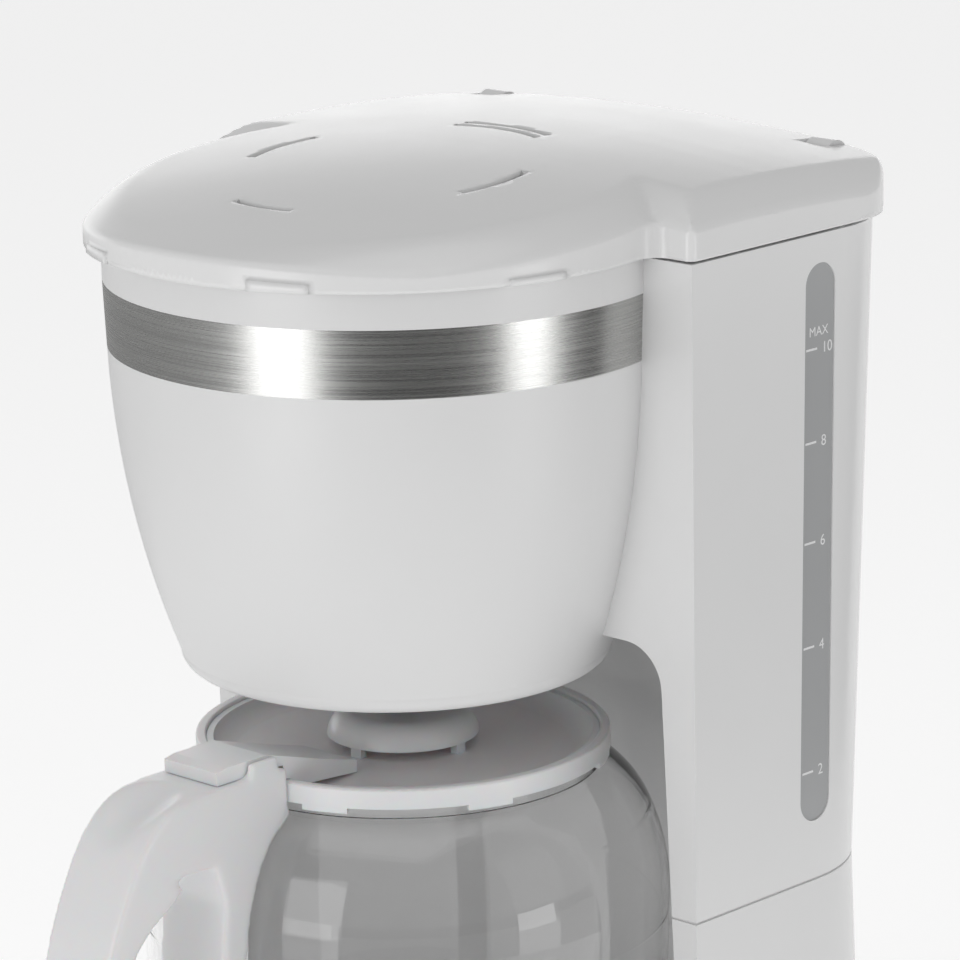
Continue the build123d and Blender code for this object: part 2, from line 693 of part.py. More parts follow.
def make_jug_lid_cap():
    """Round inverted dish on short legs that meets the drip stop."""
    dish = turned([
        line((0, 181.2), (14.5, 180.6), (18.4, 178.0), (CAP_R, 178.0)),
        arc((CAP_R, 178.0), (18.6, 182.2), (13.0, 184.4)),
        line((13.0, 184.4), (0, CAP_TOP), (0, 181.2)),
    ], JUG_Y)
    for turn in (5, 95, 185, 275):
        dish += Pos(0, JUG_Y, 0) * sector(20.0, 17.6, 175.2, 178.8, turn, 10)
    return dish


LEVER_PIN = (-62.0, 184.2)


def lever_shape():
    """Thumb lever: a plate over the front of the lid, thick at its outer end."""
    side = Polyline((0, -76.5, 183.4), (0, -76.5, 186.9), (0, -73, 187.6), (0, -59, 187.6), (0, -38, 181.4),
                    (0, -26, 178.2), (0, -26, 175.0), (0, -48, 176.6), (0, -50.6, 179.4), (0, -52.8, 179.6),
                    (0, -53.0, 183.4), close=True)
    return extrude(make_face(side), 9.8, dir=(1, 0, 0), both=True)


def pin_bar(radius, length):
    y, z = LEVER_PIN
    return Pos(0, y, z) * Rot(0, 90, 0) * Cylinder(radius, length)


def make_lid_lever():
    lever = lever_shape() - disc(CAP_R + 0.4, 170, 195, (0, JUG_Y))
    knuckle = pin_bar(3.0, 19.6) & block((-20, 20), (-70, -50), (183.4, 190))
    return lever + knuckle - pin_bar(2.0, 30)


def make_jug_lid_pin():
    return pin_bar(2.0, 2 * HANDLE_HALF - 1)


def handle_side():
    """Side view of the handle: outer edge, then the finger opening."""
    middle = 126.0
    outer = Curve() + [
        Polyline((0, -52, 150), (0, -52, 183.2), (0, -84, 183.2)),
        Spline((0, -84, 183.2), (0, -101.5, 176.6), (0, -113, middle + 32), tangents=((0, -1, 0), (0, -0.42, -0.9))),
        ThreePointArc((0, -113, middle + 32), (0, -HANDLE_REACH, middle), (0, -113, middle - 32)),
        Spline((0, -113, middle - 32), (0, -101, 81), (0, -84, 77.0), tangents=((0, 0.42, -0.9), (0, 1, 0))),
        Polyline((0, -84, 77.0), (0, -58, 77.0), (0, -52, 150)),
    ]
    opening = Curve() + [
        Polyline((0, -77, 152), (0, -79.5, 125), (0, -77, 96)),
        Spline((0, -77, 96), (0, -90, 89.5), (0, -104, 100), (0, -109.5, 126), (0, -103, 151),
               (0, -92, 161), (0, -80, 162.8), tangents=((0, -0.3, -1), (0, 1, 0))),
        Polyline((0, -80, 162.8), (0, -77, 152)),
    ]
    return make_face(outer) - make_face(opening)


def make_jug_handle():
    """Closed loop handle with a strip against the glass and two cheeks for the lever."""
    handle = extrude(handle_side(), HANDLE_HALF, dir=(1, 0, 0), both=True)
    glass = turned(glass_outline(-0.1) + [line((MOUTH_R + GLASS + 0.1, 175.2), (MOUTH_R + GLASS + 0.1, 200),
                                               (0, 200), (0, PLATE_TOP + GAP - 0.1))], JUG_Y)
    handle = handle - glass - disc(RIM_R + 0.1, RIM_LOW - 2, 200, (0, JUG_Y))
    cheeks = block((-HANDLE_HALF, HANDLE_HALF), (-67, -56.5), (180, 187.4))
    cheeks -= block((-10.0, 10.0), (-90, -50), (183.3, 190)) + disc(RIM_R + 0.1, 160, 200, (0, JUG_Y))
    handle = handle + cheeks - pin_bar(2.0, 2 * HANDLE_HALF - 1)
    return handle - handle_screw_shank()


def handle_screw_shank():
    return Pos(0, -76, 108) * Rot(90, 0, 0) * Cylinder(2.0, 9)


def make_handle_screw():
    head = Pos(0, -80.8, 108) * Rot(90, 0, 0) * Cylinder(3.6, 2.2)
    return handle_screw_shank() + head


def build_all():
    return {
        "base_housing": make_base_housing(),
        "base_cover": make_base_cover(),
        "rubber_feet": make_rubber_feet(),
        "base_screws": make_base_screws(),
        "screw_posts": make_screw_posts(),
        "hot_plate": make_hot_plate(),
        "hot_plate_seal": make_plate_seal(),
        "heating_element": make_heating_element(),
        "element_bracket": make_element_bracket(),
        "bracket_screws": make_bracket_screws(),
        "thermostat": make_thermostat(),
        "thermal_fuses": make_thermal_fuses(),
        "terminal_block": make_terminal_block(),
        "cord_gland": make_cord_gland(),
        "switch_bezel": make_switch_bezel(),
        "switch_body": make_switch_body(),
        "switch_rocker": make_switch_rocker(),
        "tank_body": make_tank_body(),
        "level_window": make_level_window(),
        "tank_floor": make_tank_floor(),
        "outlet_screen": make_outlet_screen(),
        "check_ball": make_check_ball(),
        "riser_tube": make_riser_tube(),
        "riser_grommet": make_riser_grommet(),
        "inlet_hose": make_inlet_hose(),
        "riser_hose": make_riser_hose(),
        "hose_clips": make_hose_clips(),
        "bowl_housing": make_bowl_housing(),
        "trim_band": make_trim_band(),
        "filter_basket": make_filter_basket(),
        "valve_cage": make_valve_cage(),
        "drip_valve": make_drip_valve(),
        "valve_seal": make_valve_seal(),
        "valve_spring": make_valve_spring(),
        "top_lid": make_top_lid(),
        "lid_hinge_pins": make_lid_hinge_pins(),
        "lid_spreader": make_lid_spreader(),
        "jug_glass": make_jug_glass(),
        "jug_collar": make_jug_collar(),
        "jug_lid": make_jug_lid(),
        "jug_lid_cap": make_jug_lid_cap(),
        "lid_lever": make_lid_lever(),
        "jug_lid_pin": make_jug_lid_pin(),
        "jug_handle": make_jug_handle(),
        "handle_screw": make_handle_screw(),
    }


os.makedirs("parts", exist_ok=True)
for node, shape in build_all().items():
    solids = shape if isinstance(shape, list) else [shape]
    placed = [Pos(0, AXIS_Y, 0) * s for s in solids]
    whole = placed[0] if len(placed) == 1 else Compound(placed)
    export_step(whole, f"parts/{node}.step")
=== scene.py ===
import bpy
import bmesh
import math
from mathutils import Matrix, Vector


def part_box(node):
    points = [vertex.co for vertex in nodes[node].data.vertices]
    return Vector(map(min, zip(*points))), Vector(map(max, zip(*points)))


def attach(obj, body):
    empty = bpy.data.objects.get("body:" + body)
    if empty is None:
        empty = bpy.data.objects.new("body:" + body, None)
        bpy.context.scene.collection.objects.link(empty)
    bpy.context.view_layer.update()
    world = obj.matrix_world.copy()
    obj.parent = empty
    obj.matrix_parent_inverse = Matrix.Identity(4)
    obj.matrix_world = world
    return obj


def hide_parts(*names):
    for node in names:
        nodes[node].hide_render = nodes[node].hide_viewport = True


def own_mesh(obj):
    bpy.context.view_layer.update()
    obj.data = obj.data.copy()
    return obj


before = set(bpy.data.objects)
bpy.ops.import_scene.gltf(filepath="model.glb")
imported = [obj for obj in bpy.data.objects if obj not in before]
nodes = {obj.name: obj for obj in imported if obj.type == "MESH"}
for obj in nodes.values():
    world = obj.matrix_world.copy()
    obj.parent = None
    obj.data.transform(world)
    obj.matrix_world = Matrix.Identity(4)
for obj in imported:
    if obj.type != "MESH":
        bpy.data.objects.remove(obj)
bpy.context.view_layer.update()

# ---------------------------------------------------------------------------------------
# Studio. A pale floor that runs on past the machine, an even room and three soft lights.
# Boards stand round the machine, out of the camera's sight, and draw the bright and dark
# parts that the steel band and the glass reflect.
# ---------------------------------------------------------------------------------------
MM = 0.001
bowl_low, bowl_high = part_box("bowl_housing")
AXIS_Y = (bowl_low.y + bowl_high.y) / 2      # the bowl's upright axis, in metres


def linear(hex_text, alpha=1.0):
    """sRGB hex to the linear colour that nodes take."""
    parts = [int(hex_text[i:i + 2], 16) / 255 for i in (1, 3, 5)]
    return [c / 12.92 if c <= 0.04045 else ((c + 0.055) / 1.055) ** 2.4 for c in parts] + [alpha]


def add_node(tree, kind, settings=None, links=None):
    """One node: settings are its attributes or unlinked inputs, links its linked inputs."""
    node = tree.nodes.new(kind)
    for name, value in (settings or {}).items():
        if isinstance(name, int) or name in node.inputs:
            node.inputs[name].default_value = value
        else:
            setattr(node, name, value)
    for name, source in (links or {}).items():
        tree.links.new(source, node.inputs[name])
    return node


def new_material(name):
    """A node material, and its tree, Principled shader and Object coordinates."""
    material = bpy.data.materials.new(name)
    material.use_nodes = True
    tree = material.node_tree
    tree.nodes.clear()
    shader = add_node(tree, "ShaderNodeBsdfPrincipled")
    output = add_node(tree, "ShaderNodeOutputMaterial")
    tree.links.new(shader.outputs["BSDF"], output.inputs["Surface"])
    place = add_node(tree, "ShaderNodeTexCoord").outputs["Object"]
    return material, tree, shader, place


def studio_material(name, hex_text, strength):
    """Matt paint or cloth that also glows by itself."""
    material, tree, shader, _ = new_material(name)
    shader.inputs["Base Color"].default_value = linear(hex_text)
    shader.inputs["Roughness"].default_value = 0.9
    shader.inputs["Emission Color"].default_value = linear(hex_text)
    shader.inputs["Emission Strength"].default_value = strength
    return material


def stage_plane(name, centre, across, up, size, material):
    """A flat stage board with its middle at centre."""
    a, b = Vector(across).normalized() * size[0] / 2, Vector(up).normalized() * size[1] / 2
    c = Vector(centre)
    mesh = bpy.data.meshes.new(name)
    mesh.from_pydata([c - a - b, c + a - b, c + a + b, c - a + b], [], [(0, 1, 2, 3)])
    mesh.materials.append(material)
    board = bpy.data.objects.new(name, mesh)
    bpy.context.scene.collection.objects.link(board)


def softbox(name, azimuth, elevation, distance, size, power, aim_z):
    """An area light at an azimuth round the machine, aimed at the bowl's axis."""
    a, e = math.radians(azimuth), math.radians(elevation)
    away = Vector((math.sin(a) * math.cos(e), -math.cos(a) * math.cos(e), math.sin(e)))
    light = bpy.data.lights.new(name, "AREA")
    light.shape = "RECTANGLE"
    light.size, light.size_y = size
    light.energy = power
    lamp = bpy.data.objects.new(name, light)
    lamp.location = Vector((0, AXIS_Y, aim_z)) + away * distance
    lamp.rotation_mode = "QUATERNION"
    lamp.rotation_quaternion = away.to_track_quat("Z", "Y")
    bpy.context.scene.collection.objects.link(lamp)


BOARD_SPLIT = 0.12                            # the boards are brighter above this height


def reflector(name, azimuth_from, azimuth_to, hex_text, strength, low=0.001, high=0.2, radius=0.6):
    """A curved board round the machine, between two azimuths, that only shows in reflections."""
    degrees_per_face = 4
    steps = max(2, round((azimuth_to - azimuth_from) / degrees_per_face))
    corners = []
    for i in range(steps + 1):
        a = math.radians(azimuth_from + (azimuth_to - azimuth_from) * i / steps)
        x, y = radius * math.sin(a), AXIS_Y - radius * math.cos(a)
        corners += [(x, y, low), (x, y, high)]
    mesh = bpy.data.meshes.new(name)
    mesh.from_pydata(corners, [], [(2 * i, 2 * i + 2, 2 * i + 3, 2 * i + 1) for i in range(steps)])
    mesh.materials.append(studio_material(name + "_cloth", hex_text, strength))
    board = bpy.data.objects.new(name, mesh)
    bpy.context.scene.collection.objects.link(board)
    board.visible_camera = board.visible_diffuse = board.visible_shadow = False
    board.visible_transmission = False


FLOOR_SPAN = 14.0                             # metres
stage_plane("studio_floor", (0, 0, 0), (1, 0, 0), (0, 1, 0), (FLOOR_SPAN, FLOOR_SPAN),
            studio_material("pale_floor_paint", "#fdfdfd", 0.39))
softbox("softbox_right", 104, 20, 1.3, (0.6, 0.8), 0.5, 0.2)
softbox("softbox_left", 4, 8, 1.3, (0.6, 0.6), 2.0, 0.2)
softbox("overhead_panel", 20, 78, 1.6, (1.6, 1.6), 5.0, 0.3)
reflector("grey_board_left", -125, -11, "#9c9c9c", 0.22)
reflector("white_board_left", -11, 17, "#ffffff", 1.3, high=BOARD_SPLIT)
reflector("bright_board_left", -9, 14, "#ffffff", 3.2, low=BOARD_SPLIT)
reflector("dark_board_front", 17, 90, "#2c2c2c", 0.03)
reflector("white_board_right", 90, 109, "#ffffff", 1.1, high=BOARD_SPLIT)
reflector("bright_board_right", 90, 107, "#ffffff", 3.4, low=BOARD_SPLIT)
reflector("dark_board_right", 109, 166, "#242424", 0.02)
reflector("pale_wall_behind", 176, 276, "#ffffff", 0.85, high=1.45, radius=4.0)

world = bpy.data.worlds.new("studio_room")
bpy.context.scene.world = world
world.use_nodes = True
sky = world.node_tree.nodes["Background"]
sky.inputs["Color"].default_value = linear("#ffffff")
sky.inputs["Strength"].default_value = 0.44
bpy.context.scene.view_settings.view_transform = "Standard"

camera_data = bpy.data.cameras.new("viewpoint")
camera = bpy.data.objects.new("viewpoint", camera_data)
bpy.context.scene.collection.objects.link(camera)
bpy.context.scene.camera = camera
camera_data.sensor_width = 36
camera_data.lens = 186.92
camera_data.clip_start, camera_data.clip_end = 0.05, 30
azimuth, pitch, roll = math.radians(43.68), math.radians(14.49), math.radians(-1.03)
level = math.cos(pitch)
view_back = Vector((math.sin(azimuth) * level, -math.cos(azimuth) * level, math.sin(pitch)))
view_right = Vector((math.cos(azimuth), math.sin(azimuth), 0))
view_up = view_back.cross(view_right)
rolled_right = math.cos(roll) * view_right + math.sin(roll) * view_up
rolled_up = -math.sin(roll) * view_right + math.cos(roll) * view_up
camera.location = Vector((0.8984, AXIS_Y - 0.9077, 0.5771))
camera.rotation_mode = "QUATERNION"
camera.rotation_quaternion = Matrix((rolled_right, rolled_up, view_back)).transposed().to_quaternion()


def wear(material_of, *names):
    """Gives CAD nodes their real finish."""
    for name in names:
        mesh = nodes[name].data
        mesh.materials.clear()
        mesh.materials.append(material_of)


# ---------------------------------------------------------------------------------------
# White gloss mouldings: the base, the column with the tank, the lid and the fittings. ABS,
# injection moulded in a polished tool: a clean gloss with the faint waviness of thin walls.
# ---------------------------------------------------------------------------------------

POLYMER_IOR = 1.54


def moulded_plastic(name, hex_text, roughness, peel_mm=5.0, peel=0.02, grain_mm=0.0, grain=0.0, tint=0.012):
    """Moulded plastic: soft tone drift, polish that varies, tool-surface waviness, fine grain."""
    material, tree, shader, place = new_material(name)
    drift = add_node(tree, "ShaderNodeTexNoise", {"Scale": 1 / (60 * MM), "Detail": 2.0, "Roughness": 0.5},
                     {"Vector": place})
    base = linear(hex_text)
    darker = [c * (1 - 4 * tint) for c in base[:3]] + [1]
    tone = add_node(tree, "ShaderNodeMix", {"data_type": "RGBA", 6: base, 7: darker},
                    {"Factor": drift.outputs["Fac"]})
    tree.links.new(tone.outputs[2], shader.inputs["Base Color"])
    polish = add_node(tree, "ShaderNodeTexNoise", {"Scale": 1 / (18 * MM), "Detail": 3.0}, {"Vector": place})
    rough = add_node(tree, "ShaderNodeMapRange", {"To Min": roughness * 0.85, "To Max": roughness * 1.15},
                     {"Value": polish.outputs["Fac"]})
    tree.links.new(rough.outputs["Result"], shader.inputs["Roughness"])
    wave = add_node(tree, "ShaderNodeTexNoise", {"Scale": 1 / (peel_mm * MM), "Detail": 1.0},
                    {"Vector": place})
    bump = add_node(tree, "ShaderNodeBump", {"Strength": peel, "Distance": 0.5 * MM},
                    {"Height": wave.outputs["Fac"]})
    if grain:
        fine = add_node(tree, "ShaderNodeTexNoise", {"Scale": 1 / (grain_mm * MM), "Detail": 2.0},
                        {"Vector": place})
        bump = add_node(tree, "ShaderNodeBump", {"Strength": grain, "Distance": 0.1 * MM},
                        {"Height": fine.outputs["Fac"], "Normal": bump.outputs["Normal"]})
    tree.links.new(bump.outputs["Normal"], shader.inputs["Normal"])
    shader.inputs["IOR"].default_value = POLYMER_IOR
    return material


white_gloss_abs = moulded_plastic("white_gloss_abs", "#ececec", 0.24)
wear(white_gloss_abs, "base_housing", "tank_body", "switch_bezel", "tank_floor", "outlet_screen",
     "riser_tube", "lid_spreader", "base_cover", "screw_posts")

# ---------------------------------------------------------------------------------------
# Top lid: one gloss ABS moulding, hinged at the back. Its barrelled top rolls down to a low
# rim at both sides, so its skin is drawn from the plain lid and pulled down near the edge.
# ---------------------------------------------------------------------------------------
ROLL_WIDTH = 11 * MM                          # how far in from the side the top starts to fall
ROLL_DEPTH = 6.0 * MM                         # how far it has fallen at the side
ROLL_SHAPE = 1.6                              # 1 is a straight slope, more falls later
FULL_ROLL_X = 62 * MM                         # the roll fades out from here to the middle
LID_DISC_R = 78.1 * MM                        # the lid's round front
SHOULDER_Y = 20.2 * MM                        # from the disc's middle back to the square part
CROWN_Y = 47 * MM                             # from the disc's middle back to the crown
CROWN_ACROSS, CROWN_ALONG = 700 * MM, 620 * MM    # the two radii of the barrelled top


def merged_copy(node_name, piece_name):
    """The shape of a CAD part in a new object, with its loose triangles joined."""
    shape = bmesh.new()
    shape.from_mesh(nodes[node_name].data)
    bmesh.ops.remove_doubles(shape, verts=shape.verts, dist=0.005 * MM)
    mesh = bpy.data.meshes.new(piece_name)
    shape.to_mesh(mesh)
    shape.free()
    piece = bpy.data.objects.new(piece_name, mesh)
    bpy.context.scene.collection.objects.link(piece)
    return piece


def shade_rounded(mesh, sharp_deg=32):
    """Smooth shading, with an edge kept wherever the skin turns sharply."""
    mesh.polygons.foreach_set("use_smooth", [True] * len(mesh.polygons))
    mesh.set_sharp_from_angle(angle=math.radians(sharp_deg))


def split_long_edges(mesh, longest, rounds=7):
    """Divides the triangles until no edge is longer than asked."""
    shape = bmesh.new()
    shape.from_mesh(mesh)
    for _ in range(rounds):
        long_edges = [e for e in shape.edges if e.calc_length() > longest]
        if not long_edges:
            break
        bmesh.ops.subdivide_edges(shape, edges=long_edges, cuts=1)
        bmesh.ops.triangulate(shape, faces=[f for f in shape.faces if len(f.verts) > 3])
    shape.to_mesh(mesh)
    shape.free()


def rolled_lid():
    lid_low, lid_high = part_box("top_lid")
    half = lid_high.x
    disc_y = lid_low.y + LID_DISC_R
    piece = merged_copy("top_lid", "rolled_top_lid")
    split_long_edges(piece.data, 3 * MM)
    for vertex in piece.data.vertices:
        x, y, z = vertex.co
        inside_disc = LID_DISC_R - math.hypot(x, y - disc_y)
        inside_back = min(half - abs(x), y - disc_y - SHOULDER_Y)
        inset = max(inside_disc, inside_back, 0.0)
        fall = max(0.0, 1 - inset / ROLL_WIDTH) ** ROLL_SHAPE * min(1.0, abs(x) / FULL_ROLL_X) ** 2
        top = lid_high.z - x * x / (2 * CROWN_ACROSS) - (y - disc_y - CROWN_Y) ** 2 / (2 * CROWN_ALONG)
        share = min(1.0, max(0.0, (z - lid_low.z) / (top - lid_low.z)))
        vertex.co.z = z - ROLL_DEPTH * fall * share
    shade_rounded(piece.data)
    piece.data.materials.append(white_gloss_abs)
    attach(piece, "lid")
    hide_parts("top_lid")


rolled_lid()

# ---------------------------------------------------------------------------------------
# Bowl: the white ABS shell that holds the filter basket, moulded in a lightly etched tool,
# which gives it a satin skin beside the gloss of the lid and the column.
# ---------------------------------------------------------------------------------------
satin_white_abs = moulded_plastic("satin_white_abs", "#e8e8e8", 0.42, grain_mm=0.8, grain=0.05)
wear(satin_white_abs, "bowl_housing")

# ---------------------------------------------------------------------------------------
# Trim band: stainless strip rolled round the bowl, brushed along its length, so that it
# throws tall streaks of light and shows fine lines that run round it.
# ---------------------------------------------------------------------------------------

def brushed_band_steel():
    """The lines are drawn 0.35 mm apart, some ten times too coarse, so that they show."""
    material, tree, shader, place = new_material("brushed_stainless")
    stretch = add_node(tree, "ShaderNodeMapping", {"Scale": (8, 8, 1 / (0.35 * MM))}, {"Vector": place})
    lines = add_node(tree, "ShaderNodeTexNoise", {"Scale": 1.0, "Detail": 4.0, "Roughness": 0.7},
                     {"Vector": stretch.outputs["Vector"]})
    tone = add_node(tree, "ShaderNodeMix", {"data_type": "RGBA", 6: linear("#a9a9a8"), 7: linear("#cfcfcd")},
                    {"Factor": lines.outputs["Fac"]})
    tree.links.new(tone.outputs[2], shader.inputs["Base Color"])
    rough = add_node(tree, "ShaderNodeMapRange", {"To Min": 0.18, "To Max": 0.36},
                     {"Value": lines.outputs["Fac"]})
    tree.links.new(rough.outputs["Result"], shader.inputs["Roughness"])
    bump = add_node(tree, "ShaderNodeBump", {"Strength": 0.12, "Distance": 0.05 * MM},
                    {"Height": lines.outputs["Fac"]})
    tree.links.new(bump.outputs["Normal"], shader.inputs["Normal"])
    tangent = add_node(tree, "ShaderNodeTangent", {"direction_type": "RADIAL", "axis": "Z"})
    tree.links.new(tangent.outputs["Tangent"], shader.inputs["Tangent"])
    shader.inputs["Metallic"].default_value = 1.0
    shader.inputs["Anisotropic"].default_value = 0.6
    return material


wear(brushed_band_steel(), "trim_band")

# ---------------------------------------------------------------------------------------
# Level window: a strip of smoke-grey styrene let into the right side of the tank, with the
# water scale pad-printed on it in white: a mark for each two cups and one word at the top.
# ---------------------------------------------------------------------------------------
wear(moulded_plastic("smoked_styrene", "#b0b1b2", 0.2), "level_window")
window_low, window_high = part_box("level_window")
MARK_HEIGHTS = {"10": 284.0, "8": 259.0, "6": 232.0, "4": 203.5, "2": 169.0}    # mm above the table
INK = 0.05 * MM


def window_y(z):
    """Middle of the strip at a height: it leans back with the tank."""
    share = (z - window_low.z) / (window_high.z - window_low.z)
    half_width = 6 * MM
    return window_low.y + half_width + share * (window_high.y - window_low.y - 2 * half_width)


def white_ink():
    material, tree, shader, place = new_material("white_pad_ink")
    cover = add_node(tree, "ShaderNodeTexNoise", {"Scale": 1 / (0.6 * MM), "Detail": 2.0}, {"Vector": place})
    tone = add_node(tree, "ShaderNodeMix", {"data_type": "RGBA", 6: linear("#f4f4f4"), 7: linear("#dededf")},
                    {"Factor": cover.outputs["Fac"]})
    tree.links.new(tone.outputs[2], shader.inputs["Base Color"])
    shader.inputs["Roughness"].default_value = 0.55
    return material


ink = white_ink()


def printed_word(text, size, y, z):
    """Flat lettering on the window, in a mesh, reading from front to back."""
    curve = bpy.data.curves.new("scale_word", "FONT")
    curve.body = text
    curve.size = size
    curve.extrude = INK / 2
    letters = bpy.data.objects.new("scale_word", curve)
    bpy.context.scene.collection.objects.link(letters)
    depsgraph = bpy.context.evaluated_depsgraph_get()
    mesh = bpy.data.meshes.new_from_object(letters.evaluated_get(depsgraph))
    bpy.data.objects.remove(letters)
    mesh.transform(Matrix(((0, 0, 1, window_high.x + INK / 2), (1, 0, 0, y), (0, 1, 0, z), (0, 0, 0, 1))))
    return mesh


def join_meshes(name, meshes):
    """One object that holds all the meshes."""
    shape = bmesh.new()
    for mesh in meshes:
        shape.from_mesh(mesh)
        bpy.data.meshes.remove(mesh)
    mesh = bpy.data.meshes.new(name)
    shape.to_mesh(mesh)
    shape.free()
    piece = bpy.data.objects.new(name, mesh)
    bpy.context.scene.collection.objects.link(piece)
    return piece


words = [printed_word("MAX", 3.6 * MM, window_y(0.287) - 3.9 * MM, 287.4 * MM)]
for number, height in MARK_HEIGHTS.items():
    middle = window_y(height * MM)
    words.append(printed_word(number, 4.2 * MM, middle + 1.4 * MM, (height - 1.4) * MM))
scale_words = join_meshes("scale_words", words)
scale_words.data.materials.append(ink)
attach(scale_words, "machine")


def number_input(tree, name):
    """A named number input of a Geometry Nodes tree; gives its identifier."""
    socket = tree.interface.new_socket(name, in_out="INPUT", socket_type="NodeSocketFloat")
    return socket.identifier


def bar_tree(material):
    """Geometry Nodes: a flat bar on every point, with its length and thickness as inputs."""
    tree = bpy.data.node_groups.new("scale_bars", "GeometryNodeTree")
    tree.interface.new_socket("Geometry", in_out="INPUT", socket_type="NodeSocketGeometry")
    sockets = {}
    for name in ("Bar Length", "Bar Height", "Bar Depth"):
        sockets[name] = number_input(tree, name)
    tree.interface.new_socket("Geometry", in_out="OUTPUT", socket_type="NodeSocketGeometry")
    inputs = add_node(tree, "NodeGroupInput")
    size = add_node(tree, "ShaderNodeCombineXYZ", None, {"X": inputs.outputs["Bar Depth"],
                    "Y": inputs.outputs["Bar Length"], "Z": inputs.outputs["Bar Height"]})
    bar = add_node(tree, "GeometryNodeMeshCube", None, {"Size": size.outputs["Vector"]})
    points = add_node(tree, "GeometryNodeMeshToPoints", None, {"Mesh": inputs.outputs["Geometry"]})
    placed = add_node(tree, "GeometryNodeInstanceOnPoints", None,
                      {"Points": points.outputs["Points"], "Instance": bar.outputs["Mesh"]})
    real = add_node(tree, "GeometryNodeRealizeInstances", None, {"Geometry": placed.outputs["Instances"]})
    inked = add_node(tree, "GeometryNodeSetMaterial", {"Material": material},
                     {"Geometry": real.outputs["Geometry"]})
    output = add_node(tree, "NodeGroupOutput")
    tree.links.new(inked.outputs["Geometry"], output.inputs["Geometry"])
    return tree, sockets


def scale_bars():
    mesh = bpy.data.meshes.new("scale_bars")
    places = [(window_high.x + INK / 2, window_y(h * MM) - 2.8 * MM, h * MM) for h in MARK_HEIGHTS.values()]
    mesh.from_pydata(places, [], [])
    piece = bpy.data.objects.new("scale_bars", mesh)
    bpy.context.scene.collection.objects.link(piece)
    tree, sockets = bar_tree(ink)
    modifier = piece.modifiers.new("bars", "NODES")
    modifier.node_group = tree
    for name, value in (("Bar Length", 4.4 * MM), ("Bar Height", 0.6 * MM), ("Bar Depth", INK)):
        modifier[sockets[name]] = value
    depsgraph = bpy.context.evaluated_depsgraph_get()
    piece.data = bpy.data.meshes.new_from_object(piece.evaluated_get(depsgraph))
    piece.modifiers.clear()
    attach(piece, "machine")


scale_bars()

# ---------------------------------------------------------------------------------------
# Jug: blown borosilicate glass, 2 mm thick, with the faint unevenness of a blown wall. It
# lets the light of the room through to the wall behind it.
# ---------------------------------------------------------------------------------------

def clear_glass():
    material, tree, shader, place = new_material("borosilicate_glass")
    shader.inputs["Base Color"].default_value = linear("#ffffff")
    shader.inputs["Roughness"].default_value = 0.01
    shader.inputs["IOR"].default_value = 1.473
    shader.inputs["Transmission Weight"].default_value = 1.0
    wave = add_node(tree, "ShaderNodeTexNoise", {"Scale": 1 / (30 * MM), "Detail": 1.0}, {"Vector": place})
    bump = add_node(tree, "ShaderNodeBump", {"Strength": 0.05, "Distance": 0.5 * MM},
                    {"Height": wave.outputs["Fac"]})
    tree.links.new(bump.outputs["Normal"], shader.inputs["Normal"])
    return material


wear(clear_glass(), "jug_glass")
nodes["jug_glass"].visible_shadow = False

# ---------------------------------------------------------------------------------------
# Jug fittings: rim ring, lid, cap, thumb lever and handle in white polypropylene, a little
# softer in its gloss than the machine. The handle is a solid loop with every edge rolled
# over and a shallow dish for the thumb, so it is drawn again from the plain handle.
# ---------------------------------------------------------------------------------------
white_polypropylene = moulded_plastic("white_polypropylene", "#efeff0", 0.3)
polypropylene_shader = white_polypropylene.node_tree.nodes["Principled BSDF"]
polypropylene_shader.inputs["Subsurface Weight"].default_value = 0.3
polypropylene_shader.inputs["Subsurface Scale"].default_value = 3 * MM
wear(white_polypropylene, "jug_collar", "jug_lid", "jug_lid_cap", "lid_lever")
THUMB_DISH = 2.6 * MM                         # depth of the dish
DISH_HALF_WIDTH, DISH_HALF_LENGTH = 9.5 * MM, 13 * MM
DISH_BACK, DISH_DOWN = 27 * MM, 7 * MM        # from the handle's front and top to its middle


def settle(piece):
    """Turns what the modifiers make into the piece's own mesh."""
    depsgraph = bpy.context.evaluated_depsgraph_get()
    piece.data = bpy.data.meshes.new_from_object(piece.evaluated_get(depsgraph))
    piece.modifiers.clear()


def rolled_handle():
    handle_low, handle_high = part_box("jug_handle")
    piece = merged_copy("jug_handle", "rolled_handle")
    skin = piece.modifiers.new("skin", "REMESH")
    skin.mode = "VOXEL"
    skin.voxel_size = 0.8 * MM
    ease = piece.modifiers.new("ease", "SMOOTH")
    ease.factor = 0.5
    ease.iterations = 14
    settle(piece)
    dish = Vector((0, handle_low.y + DISH_BACK, handle_high.z - DISH_DOWN))
    downward = Vector((0, 0.35, -0.94))
    for vertex in piece.data.vertices:
        offset = vertex.co - dish
        ratio = (offset.x / DISH_HALF_WIDTH) ** 2 + (offset.y / DISH_HALF_LENGTH) ** 2
        if ratio < 1 and vertex.normal.z > 0.2 and offset.z > -12 * MM:
            vertex.co += downward * THUMB_DISH * (1 - ratio) ** 1.5
    ease = piece.modifiers.new("ease_dish", "SMOOTH")
    ease.factor = 0.5
    ease.iterations = 6
    settle(piece)
    piece.data.polygons.foreach_set("use_smooth", [True] * len(piece.data.polygons))
    piece.data.materials.clear()
    piece.data.materials.append(white_polypropylene)
    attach(piece, "jug")
    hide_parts("jug_handle")


rolled_handle()

